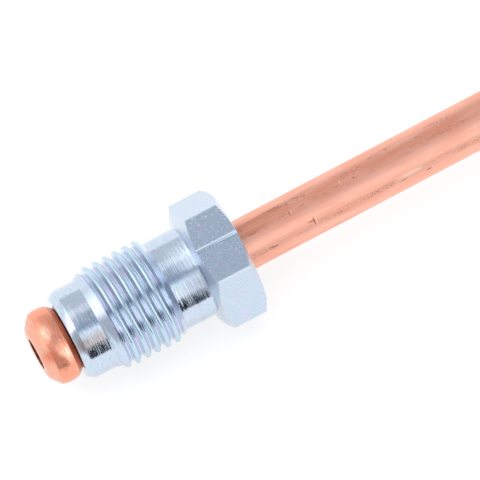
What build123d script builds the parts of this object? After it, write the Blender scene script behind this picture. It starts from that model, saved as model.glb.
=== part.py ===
import os
from math import ceil, cos, radians, tan

from build123d import *

# A straight, ready-made brake line. One copper pipe has a bubble flare formed in each end, and a
# steel tube nut waits behind each flare, loose on the pipe.
# Sizes are in millimetres. X runs along the pipe from the near end to the far one and Z is up.
# The origin is on the ground under the middle of the pipe, which lies on one flat of each nut.

# Pipe
line_length = 200.0  # from nose to nose
pipe_diameter = 4.75
pipe_wall = 0.71

# Bubble flare, with its lengths measured from the nose
flare_length = 3.65  # to where the back cone meets the pipe
nose_opening = 2.9
nose_face_diameter = 4.6
nose_diameter = 5.6  # where the edge round the nose meets the front cone
nose_edge = 0.3
front_cone_angle = 48.0  # each cone's angle is from the pipe's axis
back_cone_angle = 45.0
shoulder_diameter = 6.9  # where both cones meet the crown
crown_rise = 0.14  # by which the crown stands out from the shoulders

# Tube nut, with its lengths along the pipe in the order that they follow from its mouth
bore_clearance = 0.1  # all round the pipe
mouth_depth = 0.5
seat_gap = 0.05  # between the mouth and the flare's back, along the pipe
pilot_length = 2.75
pilot_edge_length = 0.65  # of its edge, rounded in two cones
pilot_edge_depth = 0.45
thread_length = 7.05
shank_length = 3.05
shank_root = 0.3  # of the cone in the corner under the hexagon
hex_length = 4.4

# Thread, M10 x 1, right-handed
thread_major = 9.9
thread_pitch = 1.0
thread_depth = 0.61
thread_flank_angle = 30.0  # each flank's angle from square to the axis
thread_relief = 0.03  # by which the pilot and the shank are below the thread's root
lead_angle = 30.0  # of the cone from the pilot up to the thread
run_down_angle = 45.0  # of the cone from the thread down to the shank
cutter_overlap = 0.05  # by which the thread's cutter stands out of the crests
cutter_run_out = 0.75  # turns of the cutter past each end of the thread

# Hexagon
across_flats = 11.0
corner_round = 0.04  # by which the bar's rounded corners fall short of sharp ones
front_rim = 0.37  # width of the front face round the shank's root
back_chamfer = 0.86  # from the corners in to the back face
face_chamfer_angle = 30.0  # from the hexagon's faces

# Score line along the upper flat, as the bar is drawn with
score_width = 0.42
score_depth = 0.07
score_offset = 0.17  # from the middle of the flat

pipe_radius = pipe_diameter / 2
axis_height = across_flats / 2
bore_radius = pipe_radius + bore_clearance
major_radius = thread_major / 2
root_radius = major_radius - thread_depth
pilot_radius = root_radius - thread_relief
corner_radius = axis_height / cos(radians(30)) - corner_round

# Places along the nut, from its mouth
thread_start = pilot_length
thread_end = thread_start + thread_length
hex_front = thread_end + shank_length
nut_length = hex_front + hex_length

# The nut's mouth has the back cone's angle, so the two cones seat on each other
mouth_flare = mouth_depth * tan(radians(back_cone_angle))
nut_standoff = flare_length + seat_gap - bore_clearance / tan(radians(back_cone_angle)) - mouth_depth


def end_plane(distance, end):
    # The upright plane of an end's lengthwise section. Its x runs inwards along the pipe from a
    # point on the axis at that distance from the nose, and its y is up. end is -1 near, 1 far.
    return Plane(
        origin=(end * (line_length / 2 - distance), 0, axis_height),
        x_dir=(-end, 0, 0),
        z_dir=(0, end, 0),
    )


def flare_outline():
    # Half of the pipe's wall in section: outside, from its middle to the nose, and back inside
    nose = nose_diameter / 2
    shoulder = shoulder_diameter / 2
    bulb = shoulder + crown_rise
    front_shoulder = nose_edge + (shoulder - nose) / tan(radians(front_cone_angle))
    back_shoulder = flare_length - (shoulder - pipe_radius) / tan(radians(back_cone_angle))
    crown = (front_shoulder + back_shoulder) / 2
    back_cone = Polyline(
        (line_length / 2, pipe_radius), (flare_length, pipe_radius), (back_shoulder, shoulder)
    )
    crown_arc = ThreePointArc(back_cone @ 1, (crown, bulb), (front_shoulder, shoulder))
    Polyline(
        crown_arc @ 1,
        (nose_edge, nose),
        (0, nose_face_diameter / 2),
        (0, nose_opening / 2),
        (pipe_wall, nose_opening / 2),
        (crown, bulb - pipe_wall),
        (flare_length - pipe_wall * tan(radians(back_cone_angle / 2)), pipe_radius - pipe_wall),
        (line_length / 2, pipe_radius - pipe_wall),
    )


def make_tube_nut(end):
    section = end_plane(nut_standoff, end)
    axis = Axis(section.origin, section.x_dir)
    across = section.from_local_coords
    face_slope = tan(radians(face_chamfer_angle))
    front_face = pilot_radius + shank_root + front_rim
    back_face = corner_radius - back_chamfer
    lead_run = (major_radius - pilot_radius) / tan(radians(lead_angle))
    run_down = (major_radius - pilot_radius) / tan(radians(run_down_angle))
    edge_bend = 1 - cos(radians(45))

    with BuildPart() as nut:
        # Turned blank, from the mouth along the outside and back through the bore
        with BuildSketch(section):
            with BuildLine():
                Polyline(
                    (0, bore_radius + mouth_flare),
                    (0, pilot_radius - pilot_edge_depth),
                    (pilot_edge_length * edge_bend, pilot_radius - pilot_edge_depth * edge_bend),
                    (pilot_edge_length, pilot_radius),
                    (thread_start, pilot_radius),
                    (thread_start + lead_run, major_radius),
                    (thread_end - run_down, major_radius),
                    (thread_end, pilot_radius),
                    (hex_front - shank_root, pilot_radius),
                    (hex_front, pilot_radius + shank_root),
                    (hex_front, front_face),
                    (hex_front + (corner_radius - front_face) * face_slope, corner_radius),
                    (nut_length - back_chamfer * face_slope, corner_radius),
                    (nut_length, back_face),
                    (nut_length, bore_radius),
                    (mouth_depth, bore_radius),
                    close=True,
                )
            make_face()
        revolve(axis=axis)

        # Six flats, which leave the chamfers' curved edges on each flat
        hex_plane = Plane(across((hex_front, 0, 0)), x_dir=-section.z_dir, z_dir=section.x_dir)
        with BuildSketch(hex_plane):
            Circle(2 * corner_radius)
            RegularPolygon(across_flats / 2, 6, major_radius=False, mode=Mode.SUBTRACT)
        extrude(amount=hex_length, mode=Mode.SUBTRACT)

        # Score line, the full length of the upper flat
        with BuildSketch(hex_plane):
            with Locations((score_offset, across_flats / 2)):
                Rectangle(score_width, 2 * score_depth)
        extrude(amount=hex_length, mode=Mode.SUBTRACT)

        # Thread: one turn of a V groove on a helix, cut again and again, a pitch further along each
        # time. The first and last turns run out into the air over the pilot and the shank.
        first_turn = thread_start - cutter_run_out * thread_pitch
        turns = ceil((thread_end - first_turn) / thread_pitch + cutter_run_out)
        cutter_height = thread_depth + cutter_overlap
        cutter_width = 2 * cutter_height * tan(radians(thread_flank_angle))
        for turn in range(turns):
            turn_start = across((first_turn + turn * thread_pitch, 0, 0))
            with BuildLine() as helix:
                Helix(
                    thread_pitch, thread_pitch, root_radius, center=turn_start, direction=section.x_dir
                )
            path = helix.wire()
            with BuildSketch(Plane(path @ 0, x_dir=path @ 0 - turn_start, z_dir=path % 0)):
                with BuildLine():
                    Polyline(
                        (0, 0),
                        (cutter_height, -cutter_width / 2),
                        (cutter_height, cutter_width / 2),
                        close=True,
                    )
                make_face()
            sweep(path=path, is_frenet=True, mode=Mode.SUBTRACT)
    return nut


with BuildPart() as brake_pipe:
    with BuildSketch(end_plane(0, -1)):
        with BuildLine():
            flare_outline()
            mirror(about=Plane.YZ.offset(line_length / 2))
        make_face()
    revolve(axis=Axis((0, 0, axis_height), (1, 0, 0)))

near_tube_nut = make_tube_nut(-1)
far_tube_nut = make_tube_nut(1)

brake_pipe.part.label = "brake_pipe"
near_tube_nut.part.label = "near_tube_nut"
far_tube_nut.part.label = "far_tube_nut"

os.makedirs("parts", exist_ok=True)
export_step(brake_pipe.part, "parts/brake_pipe.step")
export_step(near_tube_nut.part, "parts/near_tube_nut.step")
export_step(far_tube_nut.part, "parts/far_tube_nut.step")
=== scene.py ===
# A straight brake line: a copper pipe with a bubble flare at each end and a zinc-plated tube nut
# behind each flare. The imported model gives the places, and this script gives the looks.
from math import asin, ceil, cos, degrees, hypot, pi, radians, sin, tan

import bmesh
import bpy
from mathutils import Matrix, Vector, noise


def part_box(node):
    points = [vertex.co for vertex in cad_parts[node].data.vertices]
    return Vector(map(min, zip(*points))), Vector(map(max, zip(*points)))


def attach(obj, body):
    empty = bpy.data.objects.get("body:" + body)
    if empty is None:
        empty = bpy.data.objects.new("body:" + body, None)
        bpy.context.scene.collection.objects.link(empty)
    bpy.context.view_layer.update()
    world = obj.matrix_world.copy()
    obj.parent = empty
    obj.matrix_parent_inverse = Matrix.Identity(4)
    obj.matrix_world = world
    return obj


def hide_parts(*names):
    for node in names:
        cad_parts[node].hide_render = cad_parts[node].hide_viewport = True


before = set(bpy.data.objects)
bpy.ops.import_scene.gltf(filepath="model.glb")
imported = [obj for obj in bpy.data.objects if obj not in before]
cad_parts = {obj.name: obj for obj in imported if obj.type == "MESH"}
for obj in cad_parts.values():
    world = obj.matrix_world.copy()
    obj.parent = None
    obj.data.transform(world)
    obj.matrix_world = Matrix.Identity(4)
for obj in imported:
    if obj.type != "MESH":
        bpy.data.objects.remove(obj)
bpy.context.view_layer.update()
mm = 0.001
tiny = 0.001 * mm  # points this close together are one point

pipeLow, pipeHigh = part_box("brake_pipe")
nutLow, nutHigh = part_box("near_tube_nut")
axisHeight = (nutLow.z + nutHigh.z) / 2
lineLength = (pipeHigh.x - pipeLow.x) / mm
mouthPlace = -nutLow.x / mm  # of each nut's mouth, from the middle of the line
turnSteps = 120  # faces round every turned form, which lets the forms of one piece share rings


# Shader expressions

class Wire:  # a socket that takes part in sums
    def __init__(self, shader, socket):
        self.shader = shader
        self.socket = socket

    def out(self, name):
        return Wire(self.shader, self.socket.node.outputs[name])

    def math(self, operation, *others, **settings):
        values = dict(enumerate((self, *others)))
        return self.shader.add("ShaderNodeMath", {"operation": operation, **settings}, values)

    def __add__(self, other):
        return self.math("ADD", other)

    def __radd__(self, other):
        return self.math("ADD", other)

    def __sub__(self, other):
        return self.math("SUBTRACT", other)

    def __neg__(self):
        return self.math("MULTIPLY", -1.0)

    def __rsub__(self, other):
        return self.shader.add("ShaderNodeMath", {"operation": "SUBTRACT"}, {0: other, 1: self})

    def __mul__(self, other):
        return self.math("MULTIPLY", other)

    def __rmul__(self, other):
        return self.math("MULTIPLY", other)

    def __truediv__(self, other):
        return self.math("DIVIDE", other)

    def __pow__(self, other):
        return self.math("POWER", other)

    def clamped(self):
        return self.math("ADD", 0.0, use_clamp=True)

    def step(self, low, high):  # 0 below low and 1 above high, with a smooth change between
        values = {0: self, 1: low, 2: high}
        return self.shader.add("ShaderNodeMapRange", {"interpolation_type": "SMOOTHSTEP"}, values)

    def near(self, middle, reach):  # 1 at the middle, down to 0 at that reach from it
        return 1 - (self - middle).math("ABSOLUTE").step(0.0, reach)


def fillRamp(ramp, stops):
    while len(ramp.elements) < len(stops):
        ramp.elements.new(1.0)
    for element, (place, colour) in zip(ramp.elements, stops):
        element.position = place
        element.color = (*colour, 1)


class Shader:
    def __init__(self, tree):
        self.tree = tree
        self.tree.nodes.clear()

    def add(self, kind, settings=None, values=None, output=0):
        node = self.tree.nodes.new(kind)
        for name, value in (settings or {}).items():
            if name == "stops":
                fillRamp(node.color_ramp, value)
            else:
                setattr(node, name, value)
        for name, value in (values or {}).items():
            if isinstance(value, Wire):
                self.tree.links.new(value.socket, node.inputs[name])
            else:
                node.inputs[name].default_value = value
        return Wire(self, node.outputs[output] if len(node.outputs) else None)

    def mix(self, factor, first, second):  # two colours, on the sockets that the node keeps for colours
        ends = [end if isinstance(end, Wire) else (*end, 1) for end in (first, second)]
        values = {0: factor, 6: ends[0], 7: ends[1]}
        return self.add("ShaderNodeMix", {"data_type": "RGBA"}, values, output=2)

    def vector(self, operation, first, second):
        return self.add("ShaderNodeVectorMath", {"operation": operation}, {0: first, 1: second})

    def split(self, vector):
        parts = self.add("ShaderNodeSeparateXYZ", {}, {0: vector})
        return [parts.out(name) for name in "XYZ"]

    def bands(self, share, colours):  # colours by an angle, given as 0 to 1 round the whole turn
        stops = [(angle / 360 + 0.5, colour) for angle, colour in colours]
        return self.add("ShaderNodeValToRGB", {"stops": stops}, {0: share})

    def place(self):  # the point on the piece, in millimetres from the middle of the pipe's axis
        point = self.add("ShaderNodeTexCoord").out("Object")
        fromAxis = self.vector("SUBTRACT", point, (0, 0, axisHeight))
        return self.vector("MULTIPLY", fromAxis, (1 / mm,) * 3)

    def lines(self, along, pitch):  # noise that changes along one length only
        values = {"W": along, "Scale": 1 / pitch, "Detail": 3.0, "Roughness": 0.6}
        return self.add("ShaderNodeTexNoise", {"noise_dimensions": "1D"}, values)

    def grain(self, vector, scale, detail=2.0, rough=0.5):  # soft noise about 0.5, as fine as the scale
        scaled = self.vector("MULTIPLY", vector, scale)
        values = {"Vector": scaled, "Scale": 1.0, "Detail": detail, "Roughness": rough}
        return self.add("ShaderNodeTexNoise", {}, values)


def aroundAxis(y, z):  # degrees from the top of the line, towards the photograph's foot
    return (-y).math("ARCTAN2", z) * degrees(1)


def fromMouth(x):  # millimetres along a nut
    return mouthPlace - x.math("ABSOLUTE")


def metal(colour, roughness, height, depth):
    # The last nodes of every metal: what varies goes to colour, roughness and a bump of that depth
    shader = colour.shader
    bump = shader.add("ShaderNodeBump", {}, {"Height": height, "Distance": depth * mm, "Strength": 1.0})
    values = {"Base Color": colour, "Roughness": roughness, "Normal": bump, "Metallic": 1.0}
    surface = shader.add("ShaderNodeBsdfPrincipled", {}, values)
    shader.add("ShaderNodeOutputMaterial", {}, {"Surface": surface})


def newMaterial(name):
    material = bpy.data.materials.new(name)
    material.use_nodes = True
    return material, Shader(material.node_tree)


# Zinc plate, with the pale blue of its passivation

zinc = {
    "blue": (0.54, 0.632, 0.744),
    "lilac": (0.60, 0.60, 0.755),
    "teal": (0.49, 0.665, 0.72),
    "pale": (0.68, 0.74, 0.81),
    "crest": (0.50, 0.65, 0.755),
    "groove": (0.61, 0.69, 0.80),
    "grooveLilac": (0.66, 0.67, 0.81),
    # The next colour is painted shade: the dark band that the pilot mirrors, painted into its colour
    "stainAndShade": (0.42, 0.39, 0.41),
    # The next colour is real grime on the turned faces, and painted shade in the thread's grooves
    "grimeAndShade": (0.24, 0.29, 0.38),
    "tintSize": 0.9,  # millimetres
    "tintAmount": 0.7,
    "tealShift": (31, 17, 5),  # so that the teal's pattern isn't the lilac's
}


def zincTint(shader, point):
    scale = (1 / zinc["tintSize"],) * 3
    lilac = shader.grain(point, scale).step(0.5, 0.72)
    teal = shader.grain(shader.vector("ADD", point, zinc["tealShift"]), scale).step(0.52, 0.75)
    colour = shader.mix(lilac * zinc["tintAmount"], zinc["blue"], zinc["lilac"])
    return shader.mix(teal * zinc["tintAmount"], colour, zinc["teal"])


# Angles are from the top and lengths from the nut's mouth. A pair is where a change starts and ends.

turned = {
    "toolMark": 0.2,  # millimetres between the lathe's marks
    "depth": 0.024,
    "roughness": 0.08,
    # The next three place painted shade on the pilot: a dark band at a fixed angle round it, painted into
    # its colour
    "pilotShadeAngle": 31,
    "pilotShadeReach": 16,
    "pilotShadeEnd": (2.4, 3.2),
    "grimeAmount": 0.22,
}


def turnedZinc():
    material, shader = newMaterial("turnedZinc")
    point = shader.place()
    x, y, z = shader.split(point)
    strength = shader.grain(point, (1.2, 0.8, 0.8)).step(0.3, 0.7)
    marks = (shader.lines(x, turned["toolMark"]) - 0.5) * (strength * 0.8 + 0.5)
    ragged = shader.grain(point, (5, 2.2, 2.2), detail=3.0, rough=0.65)
    patches = shader.grain(point, (0.9, 0.9, 0.9)).step(0.35, 0.7)
    colour = shader.mix(marks.step(0.05, 0.3) * 0.5, zincTint(shader, point), zinc["pale"])
    # Painted shade: a dark band at a fixed angle round the pilot, the room's dark reflection painted into
    # the colour and broken up by noise and tool marks
    stainAndShade = aroundAxis(y, z).near(turned["pilotShadeAngle"], turned["pilotShadeReach"])
    stainAndShade = stainAndShade * (1 - fromMouth(x).step(*turned["pilotShadeEnd"]))
    stainAndShade = (stainAndShade * (ragged + marks + 0.6)).clamped()
    colour = shader.mix(stainAndShade, colour, zinc["stainAndShade"])
    colour = shader.mix(ragged.step(0.52, 0.68) * turned["grimeAmount"], colour, zinc["grimeAndShade"])
    roughness = turned["roughness"] + ragged.step(0.45, 0.75) * 0.1 + patches * 0.04
    metal(colour, roughness, marks + ragged * 0.5, turned["depth"])
    return material


threaded = {
    "depth": 0.003,
    "roughness": 0.24,
    "grooveTop": (4.62, 4.85),  # from the axis
    "leadEnd": (3.4, 4.0),
    # Painted shade: the thread's grooves are darkened at these angles round it
    "grimeAndShade": [(40, 10, 0.7), (8, 9, 0.35)],  # angle, reach and strength
}


def threadZinc():
    material, shader = newMaterial("threadZinc")
    point = shader.place()
    x, y, z = shader.split(point)
    radius = (y ** 2 + z ** 2) ** 0.5
    around = aroundAxis(y, z)
    full = fromMouth(x).step(*threaded["leadEnd"])  # past the lead cone
    groove = (1 - radius.step(*threaded["grooveTop"])) * full
    marks = shader.grain(point, (5.0, 0.8, 0.8))
    tint = shader.grain(point, (0.6, 0.6, 0.6)).step(0.4, 0.7)
    # Painted shade: the grooves darken at fixed angles from the top, where they would mirror dark parts
    # of the room
    grimeAndShade = sum(around.near(angle, reach) * amount for angle, reach, amount in threaded["grimeAndShade"])
    deep = shader.mix(grimeAndShade, shader.mix(tint, zinc["groove"], zinc["grooveLilac"]), zinc["grimeAndShade"])
    crest = shader.mix(full * (1 - tint * 0.6), zinc["blue"], zinc["crest"])
    colour = shader.mix(groove, crest, deep)
    patches = shader.grain(point, (3, 3, 3)).step(0.4, 0.7)
    roughness = threaded["roughness"] - groove * 0.1 + patches * 0.08
    metal(colour, roughness, marks, threaded["depth"])
    return material


bar = {
    "depth": 0.004,
    "roughness": 0.23,
    "speckRow": 2.75,  # across the upper flat, from its middle
    "speckReach": 0.5,
    "speckHeight": (5.3, 5.4),  # from the axis
    "wornEdge": -3.23,
    "wornReach": 0.07,
    "wornHeight": (5.2, 5.3),
    "endwise": (0.3, 0.6),  # how far a face leans along the pipe
}


def barZinc():  # the drawn flats of the hexagon, and its chamfers
    material, shader = newMaterial("barZinc")
    point = shader.place()
    x, y, z = shader.split(point)
    fine = shader.grain(point, (7, 9, 9), detail=3.0, rough=0.7)
    row = y.near(bar["speckRow"], bar["speckReach"]) * z.step(*bar["speckHeight"])
    specks = (shader.grain(point, (3.2, 4.5, 4.5), detail=1.0) + row * 0.14).step(0.66, 0.72)
    worn = y.near(bar["wornEdge"], bar["wornReach"]) * z.step(*bar["wornHeight"])
    facing = shader.split(shader.add("ShaderNodeTexCoord").out("Normal"))
    endwise = facing[0].math("ABSOLUTE").step(*bar["endwise"])
    bright = specks.math("MAXIMUM", worn).math("MAXIMUM", endwise)
    colour = shader.mix(bright * 0.8, zincTint(shader, point), zinc["pale"])
    roughness = bar["roughness"] + fine.step(0.4, 0.7) * 0.12 + endwise * 0.08
    metal(colour, roughness, fine - specks, bar["depth"])
    return material


# Copper. Angles are from the top and lengths from the nearer nose.

copper = {
    "plain": (0.92, 0.475, 0.36),
    "formed": (0.90, 0.37, 0.245),
    "warm": (0.84, 0.30, 0.18),
    # The next colour is painted shade, for the plain pipe's darker band and its darker part next to the
    # nut
    "shadeTone": (0.70, 0.30, 0.20),
    "cone": (1.0, 0.42, 0.24),
    "nose": (0.77, 0.42, 0.315),
    # The next colour is painted shade on the flare's front cone
    "coneShade": (0.74, 0.25, 0.15),
    "brown": (0.42, 0.15, 0.09),
    "dark": (0.08, 0.015, 0.01),
    "pale": (0.98, 0.64, 0.52),
    # The next colour is a painted highlight for the flare's crown
    "paintedHighlight": (0.96, 0.57, 0.43),
    "depth": 0.024,
    "roughness": 0.45,
    "noseEnd": (0.6, 1.0),
    "shoulder": 0.9,
    "shoulderReach": 0.07,
    "coneStart": (2.5, 2.75),
    "formedEnd": (2.2, 3.8),
    "ringPitch": 0.3,
    "shadeBandAngle": -14,  # painted shade: a darker band along the upper side of the plain pipe, where it mirrors the room's dark zone
    "shadeBandReach": 33,
}

# Marks on the pipe and its near flare, scratches among them and also painted shade and painted
# highlights: distance from the near nose, angle, length, width and colour

wearAndPaintedLight = [
    # Painted shade: a darker patch on the flare's front cone, in place of a dark reflection
    (0.8, 27, 1.9, 1.3, "coneShade"),
    # Painted highlights: two pale patches on the flare's crown
    (1.3, -8, 1.5, 1.5, "paintedHighlight"),
    (2.2, 31, 1.2, 1.1, "paintedHighlight"),
    (23.6, -27, 5.0, 0.5, "brown"),
    (24.3, -32, 2.4, 0.16, "brown"),
    # The brown and pale pairs below are small ticks: the brown is a painted shadow beside each tick and
    # the pale a painted highlight
    (25.6, -3, 0.14, 0.5, "brown"),
    (25.8, -3, 0.14, 0.5, "pale"),
    (27.3, 39, 0.18, 1.2, "brown"),
    (27.5, 39, 0.16, 1.1, "pale"),
    (27.1, 36, 1.2, 0.2, "brown"),
    (30.9, -12, 0.14, 0.6, "pale"),
    (32.2, -6, 0.2, 0.2, "brown"),
    (37.0, 44, 4.0, 0.6, "pale"),
    (38.7, 58, 0.8, 0.16, "dark"),
    (36.2, 52, 1.0, 0.12, "brown"),
    (23.0, 49, 0.8, 0.16, "brown"),
    (21.9, -2, 1.2, 0.5, "brown"),
    # Painted shade: two long marks darken the pipe next to the nut
    (22.5, -27, 8.0, 0.8, "shadeTone"),
    (22.0, -5, 6.0, 0.7, "shadeTone"),
]

# Rows of small scratches, the whole length of the plain pipe: angle, reach and strength

scuffs = [(-27, 16, 0.85), (-5, 12, 0.5), (48, 12, 0.7)]


def boreCopper():  # inside the pipe, where it is dull and dark
    material, shader = newMaterial("boreCopper")
    point = shader.place()
    stainAndShade = shader.grain(point, (1.5, 1.5, 1.5), detail=3.0)
    colour = shader.mix(stainAndShade.step(0.35, 0.7), copper["dark"], copper["brown"])
    metal(colour, 0.5 + stainAndShade * 0.2, stainAndShade, 0.01)
    return material


def plainColour(shader, point, around, lines, scratches, cloud):
    glints = shader.grain(point, (5, 8, 8), detail=1.0).step(0.63, 0.7)
    cluster = shader.grain(point, (0.35, 1.5, 1.5), detail=3.0).step(0.42, 0.6)
    colour = shader.mix(cloud.step(0.4, 0.75) * 0.3, copper["plain"], copper["warm"])
    colour = shader.mix(lines.step(0.5, 0.7) * 0.5, colour, copper["pale"])
    # Painted shade: a darker band at a fixed angle along the plain pipe, the room's dark reflection
    # painted into the colour
    band = around.near(copper["shadeBandAngle"], copper["shadeBandReach"]) * (cloud.step(0.3, 0.6) * 0.35 + 0.42)
    colour = shader.mix(band, colour, copper["shadeTone"])
    for angle, reach, amount in scuffs:
        row = around.near(angle, reach) * cluster
        colour = shader.mix(row * scratches.step(0.46, 0.6) * amount, colour, copper["brown"])
        colour = shader.mix(row * glints * amount, colour, copper["pale"])
    return colour


def flareColour(shader, point, fromNose, blotch):
    rings = shader.lines(fromNose, copper["ringPitch"])
    specks = shader.grain(point, (5, 3, 3)).step(0.64, 0.74)
    colour = shader.mix(rings.step(0.45, 0.7) * 0.5, copper["formed"], copper["warm"])
    colour = shader.mix(blotch.step(0.52, 0.7) * 0.3, colour, copper["pale"])
    colour = shader.mix((1 - fromNose.step(*copper["noseEnd"])) * 0.85, colour, copper["nose"])
    colour = shader.mix(fromNose.step(*copper["coneStart"]), colour, copper["cone"])
    shoulder = fromNose.near(copper["shoulder"], copper["shoulderReach"]) * blotch.step(0.35, 0.6)
    return shader.mix(specks * 0.4 + shoulder * 0.5, colour, copper["brown"])


def drawnCopper():
    material, shader = newMaterial("drawnCopper")
    point = shader.place()
    x, y, z = shader.split(point)
    around = aroundAxis(y, z)
    fromNose = lineLength / 2 - x.math("ABSOLUTE")
    formed = 1 - fromNose.step(*copper["formedEnd"])
    lines = shader.grain(point, (0.06, 5, 5), detail=3.0, rough=0.6)
    scratches = shader.grain(point, (6, 9, 9), detail=3.0, rough=0.7)
    blotch = shader.grain(point, (1.1, 0.8, 0.8), detail=3.0, rough=0.6)
    brushed = shader.grain(point, (7, 0.9, 0.9), detail=3.0, rough=0.7)
    cloud = shader.grain(point, (0.25, 1.2, 1.2), detail=3.0)
    plain = plainColour(shader, point, around, lines, scratches, cloud)
    colour = shader.mix(formed, plain, flareColour(shader, point, fromNose, blotch))
    for distance, angle, length, width, tone in wearAndPaintedLight:
        reach = degrees(width / pipe["diameter"])
        mark = (x + lineLength / 2).near(distance, length / 2) * around.near(angle, reach)
        colour = shader.mix((mark * 1.6 * (scratches + 0.4)).clamped(), colour, copper[tone])
    colour = shader.mix(brushed.step(0.45, 0.65) * formed * 0.6, colour, copper["warm"])
    roughness = copper["roughness"] + cloud.step(0.4, 0.8) * 0.1 - formed * 0.15
    metal(colour, roughness, lines * (1 - formed) + (brushed + blotch * 3) * formed, copper["depth"])
    return material


# Mesh work. A section is points in millimetres along the axis and out from it.

def chain(bm, section):
    corners = [bm.verts.new((x * mm, 0, radius * mm)) for x, radius in section]
    edges = [bm.edges.new(pair) for pair in zip(corners, corners[1:])]
    return corners + edges


def turn(bm, outline):
    bmesh.ops.spin(
        bm, geom=outline, cent=(0, 0, 0), axis=(1, 0, 0), angle=2 * pi, steps=turnSteps, use_merge=True
    )


def arc(centre, radius, start, end, steps):  # part of a section, with its angles from the axis in degrees
    angles = [radians(start + (end - start) * i / steps) for i in range(steps + 1)]
    return [(centre[0] + radius * cos(a), centre[1] + radius * sin(a)) for a in angles]


def finishPiece(name, bm, materials, body, node, crease):
    bmesh.ops.remove_doubles(bm, verts=bm.verts, dist=2 * tiny)
    bmesh.ops.dissolve_degenerate(bm, edges=bm.edges, dist=tiny)
    bmesh.ops.recalc_face_normals(bm, faces=bm.faces)
    for face in bm.faces:
        face.smooth = True
    for edge in bm.edges:
        edge.smooth = edge.calc_face_angle(pi) < radians(crease)
    openEdges = sum(1 for edge in bm.edges if len(edge.link_faces) != 2)
    mesh = bpy.data.meshes.new(name)
    bm.to_mesh(mesh)
    bm.free()
    for material in materials:
        mesh.materials.append(material)
    piece = bpy.data.objects.new(name, mesh)
    bpy.context.scene.collection.objects.link(piece)
    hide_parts(node)
    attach(piece, body)
    print(name, len(mesh.polygons), "faces", openEdges, "open edges")


# Pipe: each end is formed into a bubble flare out of the pipe's own wall

pipe = {
    "diameter": 4.75,
    "wall": 0.71,
    "flareLength": 3.65,
    "noseOpening": 2.9,
    "noseFace": 4.6,
    "noseDiameter": 5.6,
    "noseEdge": 0.3,
    "noseSkin": 0.02,  # what is nearer than this to the nose belongs to its flat face
    "lip": 0.09,  # radius round the opening
    "shoulderDiameter": 6.9,
    "crownRise": 0.14,
    "crownSteps": 8,
    "frontCone": 48,
    "frontSteps": 4,
    "backCone": 45,
    "backRing": 0.5,  # on the back cone, from the crown
    "bend": [(0.1, 0.0), (-0.1, 0.06)],  # from the corner between the pipe and the back cone
    "plainStart": 1.2,  # past the flare
    "crease": 22,  # degrees, past which an edge is sharp
    "dent": 0.035,  # how uneven the flare's forming left it
    "dentGrain": (0.9, 2.3),  # broad and fine
    "dentStart": 0.2,  # out from the opening
    "lipSlack": 0.05,  # what is this close to the opening's width is inside, as far as the wall
    "boreSlack": 0.4,  # and past it
    "hollowStart": 0.7,  # the hollow of the bubble, which widens from both its ends
    "hollowEnd": 3.5,
    "hollowSlope": 1.35,
}


def flareSection():  # outside from the plain pipe to the nose, and back inside
    tube = pipe["diameter"] / 2
    inside = tube - pipe["wall"]
    nose = pipe["noseDiameter"] / 2
    face = pipe["noseFace"] / 2
    opening = pipe["noseOpening"] / 2
    edge = pipe["noseEdge"]
    lip = pipe["lip"]
    shoulder = pipe["shoulderDiameter"] / 2
    length = pipe["flareLength"]
    plain = length + pipe["plainStart"]
    front = edge + (shoulder - nose) / tan(radians(pipe["frontCone"]))
    back = length - (shoulder - tube) / tan(radians(pipe["backCone"]))
    middle = (front + back) / 2
    half = (back - front) / 2
    rise = pipe["crownRise"]
    crownRadius = (half ** 2 + rise ** 2) / (2 * rise)
    sweep = degrees(asin(half / crownRadius))
    centre = (middle, shoulder + rise - crownRadius)
    steps = pipe["frontSteps"]
    points = [(plain, tube)]
    points += [(length + x, tube + y) for x, y in pipe["bend"]]
    points += [(back + pipe["backRing"], shoulder - pipe["backRing"])]
    points += arc(centre, crownRadius, 90 - sweep, 90 + sweep, pipe["crownSteps"])
    for i in range(1, steps):
        points += [(front + (edge - front) * i / steps, shoulder + (nose - shoulder) * i / steps)]
    # The rounded edge round the nose, a little proud of its corners
    points += [(edge + 0.06, nose + 0.05), (edge * 0.55, (nose + face) / 2 + 0.02)]
    points += [(edge * 0.15, face + 0.06), (0.0, face - 0.1)]
    points += arc((lip, opening + lip), lip, 180, 270, 3)
    points += [(pipe["wall"], opening), (middle, shoulder + rise - pipe["wall"])]
    points += [(length - pipe["wall"] * tan(radians(pipe["backCone"] / 2)), inside), (plain, inside)]
    return points


def distances(point):  # millimetres from the nearer nose, and from the axis
    return lineLength / 2 - abs(point.x) / mm, hypot(point.y, point.z) / mm


def isInside(x, radius):
    opening = pipe["noseOpening"] / 2
    slack = pipe["lipSlack"] if x < pipe["wall"] else pipe["boreSlack"]
    hollow = opening + pipe["hollowSlope"] * min(x - pipe["hollowStart"], pipe["hollowEnd"] - x)
    inBubble = pipe["wall"] < x < pipe["flareLength"] and radius < hollow
    return inBubble or (x > pipe["noseSkin"] and radius < opening + slack)


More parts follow.
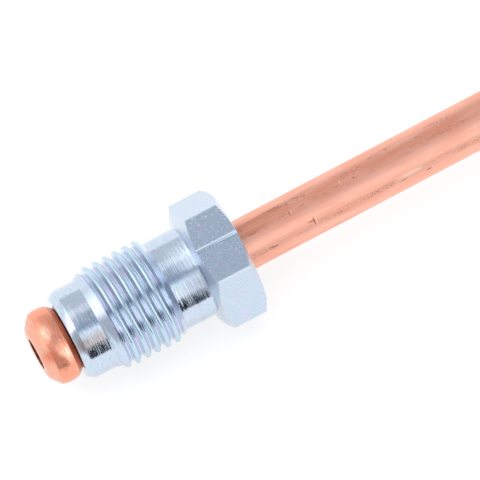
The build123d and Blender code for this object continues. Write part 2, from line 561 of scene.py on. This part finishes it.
def formedPipe(materials):
    bm = bmesh.new()
    near = [(x - lineLength / 2, radius) for x, radius in flareSection()]
    far = [(-x, radius) for x, radius in reversed(near)]
    outline = chain(bm, near + far)
    corners = outline[: len(near + far)]
    outline.append(bm.edges.new((corners[-1], corners[0])))
    turn(bm, outline)
    for face in bm.faces:
        face.material_index = int(isInside(*distances(face.calc_center_median())))
    broad, fine = pipe["dentGrain"]
    start = pipe["noseOpening"] / 2 + pipe["dentStart"]
    for vert in bm.verts:
        x, radius = distances(vert.co)
        if pipe["noseSkin"] < x < pipe["flareLength"] and radius > start:
            flaw = noise.noise(vert.co / mm * broad) + 0.5 * noise.noise(vert.co / mm * fine)
            scale = 1 + flaw * pipe["dent"] / radius
            vert.co.y *= scale
            vert.co.z *= scale
    bmesh.ops.translate(bm, verts=bm.verts, vec=(0, 0, axisHeight))
    finishPiece("formed_pipe", bm, materials, "pipe", "brake_pipe", pipe["crease"])


# Tube nut, in millimetres from its mouth

nut = {
    "bore": 4.95,
    "mouth": 0.5,
    "pilot": 8.62,
    "pilotRing": 1.2,  # before the thread
    "edgeLength": 0.65,
    "edgeDepth": 0.45,
    "edgeTop": [(0.1, 0.0), (0.0, -0.015), (-0.08, -0.06)],  # its rounding where it meets the pilot
    "edgeFoot": [(0.05, 0.06), (0.0, -0.02)],  # and where it meets the mouth
    "threadStart": 2.75,
    "threadEnd": 9.8,
    "threadMajor": 9.9,
    "threadDepth": 0.61,
    "pitch": 1.0,
    "flank": 30,  # from square to the axis
    "crestRound": 0.25,
    "rootRound": 0.08,
    "firstGroove": 0.9,  # where a groove would cross the top of the nut, whole pitches apart
    "leadAngle": 30,
    "runDownAngle": 45,
    "shankRoot": 0.08,
    "hexFront": 12.85,
    "flats": 11.0,
    "corners": 12.62,
    "frontFace": 9.96,
    "rimSlope": 0.1,
    "backFace": 10.9,
    "chamfer": 30,
    "length": 17.25,
    "scoreWidth": 0.42,
    "scoreDepth": 0.07,
    "scoreOffset": 0.17,
    "farSlope": 0.12,  # widths of its sides
    "nearSlope": 0.07,
    "crease": 26,  # degrees, past which an edge is sharp
}
turnedSkin, threadSkin, barSkin = range(3)  # places of the nut's materials


def nutBody(bm):
    bore = nut["bore"] / 2
    pilot = nut["pilot"] / 2
    foot = pilot - nut["edgeDepth"]
    corner = nut["corners"] / 2
    front = nut["frontFace"] / 2
    back = nut["backFace"] / 2
    slope = tan(radians(nut["chamfer"]))
    start = nut["threadStart"]
    head = nut["hexFront"]
    root = nut["shankRoot"]
    length = nut["length"]
    points = [(start, pilot), (start - nut["pilotRing"], pilot)]
    points += [(nut["edgeLength"] + x, pilot + y) for x, y in nut["edgeTop"]]
    points += [(x, foot + y) for x, y in nut["edgeFoot"]]
    points += [(0, bore + nut["mouth"]), (nut["mouth"], bore), (length, bore), (length, back)]
    points += [(length - (corner - back) * slope, corner), (head + (corner - front) * slope, corner)]
    points += [(head + nut["rimSlope"], front)]
    points += arc((head - root, pilot + root), root, 360, 270, 2)
    points += [(nut["threadEnd"], pilot)]
    turn(bm, chain(bm, points))
    for face in bm.faces:
        x, y, z = face.calc_center_median() / mm
        onHexagon = x > head + nut["rimSlope"] and hypot(y, z) > front
        face.material_index = barSkin if onHexagon else turnedSkin


def threadSection():  # one pitch of the thread, from the middle of a groove to the next one's
    depth = nut["threadDepth"]
    half = nut["pitch"] / 2
    lean = radians(nut["flank"])
    crest = nut["crestRound"]
    root = nut["rootRound"]
    bottom = arc((0, root / sin(lean)), root, 270, 360 - nut["flank"], 3)
    top = arc((half, depth - crest), crest, 180 - nut["flank"], 90, 6)
    rise = bottom + top
    fall = [(2 * half - x, y) for x, y in reversed(rise[:-1])]
    return rise + fall


def nutThread(bm):
    root = nut["threadMajor"] / 2 - nut["threadDepth"]
    pilot = nut["pilot"] / 2
    start = nut["threadStart"]
    end = nut["threadEnd"]
    pitch = nut["pitch"] * mm
    first = nut["firstGroove"]
    turns = ceil((end - first) / nut["pitch"]) + 1
    thread = bmesh.new()
    outline = chain(thread, [(first + x, root + y) for x, y in threadSection()])
    bmesh.ops.spin(
        thread,
        geom=outline,
        cent=(0, 0, 0),
        axis=(1, 0, 0),
        dvec=(pitch / turnSteps, 0, 0),
        angle=2 * pi,
        steps=turnSteps,
    )
    firstTurn = thread.verts[:] + thread.edges[:] + thread.faces[:]
    for i in range(1, turns):
        copied = bmesh.ops.duplicate(thread, geom=firstTurn)["geom"]
        corners = [item for item in copied if isinstance(item, bmesh.types.BMVert)]
        bmesh.ops.translate(thread, verts=corners, vec=(pitch * i, 0, 0))
    bmesh.ops.remove_doubles(thread, verts=thread.verts, dist=tiny)
    lead = tan(radians(nut["leadAngle"]))
    runDown = tan(radians(nut["runDownAngle"]))
    for vert in thread.verts:  # what stands out of the lead and run-down cones is brought down to them
        x = min(max(vert.co.x / mm, start), end)
        radius = hypot(vert.co.y, vert.co.z) / mm
        limit = pilot + min((x - start) * lead, (end - x) * runDown)
        scale = min(radius, limit) / radius
        vert.co = Vector((x * mm, vert.co.y * scale, vert.co.z * scale))
    mesh = bpy.data.meshes.new("thread")
    thread.to_mesh(mesh)
    thread.free()
    old = len(bm.faces)
    bm.from_mesh(mesh)
    bpy.data.meshes.remove(mesh)
    bm.faces.ensure_lookup_table()
    for face in bm.faces[old:]:
        face.material_index = threadSkin


def cutFlats(bm):
    for i in range(6):
        around = radians(60 * i + 90)
        away = Vector((0, cos(around), sin(around)))
        cut = bmesh.ops.bisect_plane(
            bm,
            geom=bm.verts[:] + bm.edges[:] + bm.faces[:],
            plane_co=away * nut["flats"] / 2 * mm,
            plane_no=away,
            clear_outer=True,
        )
        rim = [item for item in cut["geom_cut"] if isinstance(item, bmesh.types.BMEdge)]
        for face in bmesh.ops.contextual_create(bm, geom=rim)["faces"]:
            face.material_index = barSkin


def cutScore(bm):  # the line that the bar was drawn with, along the upper flat, with sloping sides
    top = nut["flats"] / 2 * mm
    near = (nut["scoreOffset"] - nut["scoreWidth"] / 2) * mm
    far = (nut["scoreOffset"] + nut["scoreWidth"] / 2) * mm
    floor = (near + nut["nearSlope"] * mm, far - nut["farSlope"] * mm)
    for line in (near, *floor, far):
        flat = [face for face in bm.faces if min(vert.co.z for vert in face.verts) > top - tiny]
        parts = list(dict.fromkeys(item for face in flat for item in (*face.verts, *face.edges))) + flat
        bmesh.ops.bisect_plane(bm, geom=parts, plane_co=(0, line, 0), plane_no=(0, 1, 0))
    sunk = [vert for vert in bm.verts if vert.co.z > top - tiny]
    sunk = [vert for vert in sunk if floor[0] - tiny < vert.co.y < floor[1] + tiny]
    bmesh.ops.translate(bm, verts=sunk, vec=(0, 0, -nut["scoreDepth"] * mm))


def tubeNut(name, materials, body, node, mouth, facing):
    bm = bmesh.new()
    nutBody(bm)
    nutThread(bm)
    bmesh.ops.remove_doubles(bm, verts=bm.verts, dist=4 * tiny)
    bmesh.ops.recalc_face_normals(bm, faces=bm.faces)
    cutFlats(bm)
    cutScore(bm)
    bmesh.ops.rotate(bm, verts=bm.verts, cent=(0, 0, 0), matrix=Matrix.Rotation(facing, 3, "Z"))
    bmesh.ops.translate(bm, verts=bm.verts, vec=mouth)
    finishPiece(name, bm, materials, body, node, nut["crease"])


zincSkins = [turnedZinc(), threadZinc(), barZinc()]
formedPipe([drawnCopper(), boreCopper()])
tubeNut("near_nut", zincSkins, "near_nut", "near_tube_nut", (nutLow.x, 0, axisHeight), 0)
tubeNut("far_nut", zincSkins, "far_nut", "far_tube_nut", (-nutLow.x, 0, axisHeight), pi)
print("pieces made")


# Floor, light and camera

studio = {
    "floorSide": 6.0,
    "floorDrop": 0.02,  # millimetres, out of the plane of the nuts' lower flats
    "floorTone": (0.34, 0.34, 0.34),
    "floorGlow": 0.68,
    "sunTilt": 28,  # degrees from straight down, from beyond the pipe
    "sunSpread": 70,
    "sunPower": 1.9,
    "roomPower": 1.0,
}

# What the metal sees, by its angle from straight up: minus is beyond the pipe. The middle of the room
# comes first, and then what is mirrored towards the near nose and towards the far end.

room = [
    (-180, (0.95, 0.97, 1.00)),
    (-92, (0.95, 0.97, 1.00)),
    (-86, (0.80, 0.83, 0.86)),
    (-48, (0.80, 0.83, 0.86)),
    (-40, (1.05, 1.05, 1.05)),
    (-27, (1.00, 1.00, 1.02)),
    (-20, (0.46, 0.50, 0.56)),
    (2, (0.44, 0.50, 0.58)),
    (8, (0.39, 0.47, 0.58)),
    (15, (0.43, 0.56, 0.69)),
    (21, (1.15, 1.20, 1.22)),
    (90, (1.18, 1.14, 1.10)),
    (180, (1.12, 1.12, 1.12)),
]
noseEnd = [
    (-180, (0.95, 0.97, 1.00)),
    (-80, (1.00, 1.00, 1.02)),
    (-55, (1.60, 1.60, 1.60)),
    (-30, (2.05, 2.05, 2.05)),
    (-2, (1.70, 1.65, 1.67)),
    (6, (0.60, 0.58, 0.62)),
    (86, (0.62, 0.62, 0.66)),
    (98, (1.05, 1.05, 1.05)),
    (180, (1.12, 1.12, 1.12)),
]
farEnd = [
    (-180, (0.95, 0.97, 1.00)),
    (-92, (0.90, 0.92, 0.95)),
    (-75, (0.62, 0.63, 0.68)),
    (-6, (0.62, 0.63, 0.68)),
    (4, (0.40, 0.46, 0.57)),
    (14, (1.35, 1.35, 1.35)),
    (30, (2.2, 2.2, 2.2)),
    (70, (2.2, 2.2, 2.2)),
    (90, (1.12, 1.12, 1.12)),
    (180, (1.12, 1.12, 1.12)),
]

# Screens in the room. Along, up and aside are a direction's parts, and a pair is where one of them
# starts to show and where it shows in full.

screens = {
    "noseAlong": (0.12, 0.3),
    "farAlong": (0.17, 0.36),
    "square": 0.117,  # along, as faces square to the pipe mirror it to the camera
    "paleAlong": (0.05, 0.22),  # to either side of that
    "paleUp": (0.72, 0.88),
    "paleTone": (1.18, 1.20, 1.24),
    "paleAmount": 0.6,
    "gapAngle": 5,  # where the dark gap crosses the threads
    "gapReach": 16,
    "dimAlong": (0.55, 0.75),
    "dimAside": (0.05, 0.25),
    "dimTone": (0.36, 0.39, 0.46),
    "darkSize": (0.25, 0.6),  # along and up
    "darkEdge": (0.7, 1.05),
    "darkAside": (0.0, 0.1),
    "darkTone": (0.03, 0.04, 0.055),
}


def studioFloor():
    bm = bmesh.new()
    bmesh.ops.create_grid(bm, x_segments=1, y_segments=1, size=studio["floorSide"] / 2)
    mesh = bpy.data.meshes.new("floor")
    bm.to_mesh(mesh)
    bm.free()
    material, shader = newMaterial("floorPaper")
    values = {"Base Color": (*studio["floorTone"], 1), "Roughness": 0.9, "Specular IOR Level": 0.1}
    values |= {"Emission Color": (1, 1, 1, 1), "Emission Strength": studio["floorGlow"]}
    paper = shader.add("ShaderNodeBsdfPrincipled", {}, values)
    shader.add("ShaderNodeOutputMaterial", {}, {"Surface": paper})
    mesh.materials.append(material)
    floor = bpy.data.objects.new("floor", mesh)
    bpy.context.scene.collection.objects.link(floor)
    floor.location.z = -studio["floorDrop"] * mm


def studioRoom():
    world = bpy.data.worlds.new("studio")
    world.use_nodes = True
    bpy.context.scene.world = world
    shader = Shader(world.node_tree)
    along, beyond, up = shader.split(shader.add("ShaderNodeTexCoord").out("Generated"))
    aside = -beyond  # towards the camera's side of the pipe
    lean = aside.math("ARCTAN2", up) / (2 * pi) + 0.5
    middle, toNose, toFar = (shader.bands(lean, stops) for stops in (room, noseEnd, farEnd))
    walls = shader.mix((-along).step(*screens["noseAlong"]), middle, toNose)
    walls = shader.mix(along.step(*screens["farAlong"]), walls, toFar)
    pale = (along - screens["square"]).math("ABSOLUTE").step(*screens["paleAlong"])
    pale = pale * up.step(*screens["paleUp"])
    pale = pale * (1 - lean.near(0.5 + screens["gapAngle"] / 360, screens["gapReach"] / 360))
    walls = shader.mix(pale * screens["paleAmount"], walls, screens["paleTone"])
    dim = along.step(*screens["dimAlong"]) * aside.step(*screens["dimAside"])
    walls = shader.mix(dim, walls, screens["dimTone"])
    length, height = screens["darkSize"]
    spread = (along / length) ** 2 + (up / height) ** 2
    dark = (1 - spread.step(*screens["darkEdge"])) * aside.step(*screens["darkAside"])
    walls = shader.mix(dark, walls, screens["darkTone"])
    rays = shader.add("ShaderNodeLightPath")
    colour = shader.mix(rays.out("Is Camera Ray"), walls, (1.0, 1.0, 1.0))
    values = {"Color": colour, "Strength": studio["roomPower"]}
    background = shader.add("ShaderNodeBackground", {}, values)
    shader.add("ShaderNodeOutputWorld", {}, {"Surface": background})


def studioSun():
    light = bpy.data.lights.new("softLight", "SUN")
    light.energy = studio["sunPower"]
    light.angle = radians(studio["sunSpread"])
    lamp = bpy.data.objects.new("softLight", light)
    lamp.rotation_euler = (radians(-studio["sunTilt"]), 0, 0)
    lamp.visible_glossy = False
    bpy.context.scene.collection.objects.link(lamp)


view = {
    "azimuth": -28.5,
    "elevation": 75.8,
    "distance": 0.6,
    "clipStart": 0.01,
    "sensor": 36,
    "pixelsPerMm": 11.26,
    "imageSide": 480,
    "nosePixel": (36.4, 354.1),  # where the photograph shows the middle of the near nose
}


def photoCamera():
    swing, tilt = radians(view["azimuth"]), radians(view["elevation"])
    back = Vector((sin(swing) * cos(tilt), -cos(swing) * cos(tilt), sin(tilt)))
    right = Vector((cos(swing), sin(swing), 0))
    up = back.cross(right)
    half = view["imageSide"] / 2
    shift = [(half - pixel) / view["pixelsPerMm"] * mm for pixel in view["nosePixel"]]
    target = Vector((pipeLow.x, 0, axisHeight)) + right * shift[0] - up * shift[1]
    frameWidth = view["imageSide"] / view["pixelsPerMm"] * mm
    data = bpy.data.cameras.new("camera")
    data.sensor_width = view["sensor"]
    data.lens = view["sensor"] * view["distance"] / frameWidth
    data.clip_start = view["clipStart"]
    camera = bpy.data.objects.new("camera", data)
    axes = Matrix((right, up, back)).transposed()
    camera.matrix_world = Matrix.Translation(target + back * view["distance"]) @ axes.to_4x4()
    bpy.context.scene.collection.objects.link(camera)
    bpy.context.scene.camera = camera


studioFloor()
studioRoom()
studioSun()
photoCamera()
bpy.context.scene.view_settings.view_transform = "Standard"
print("studio ready")
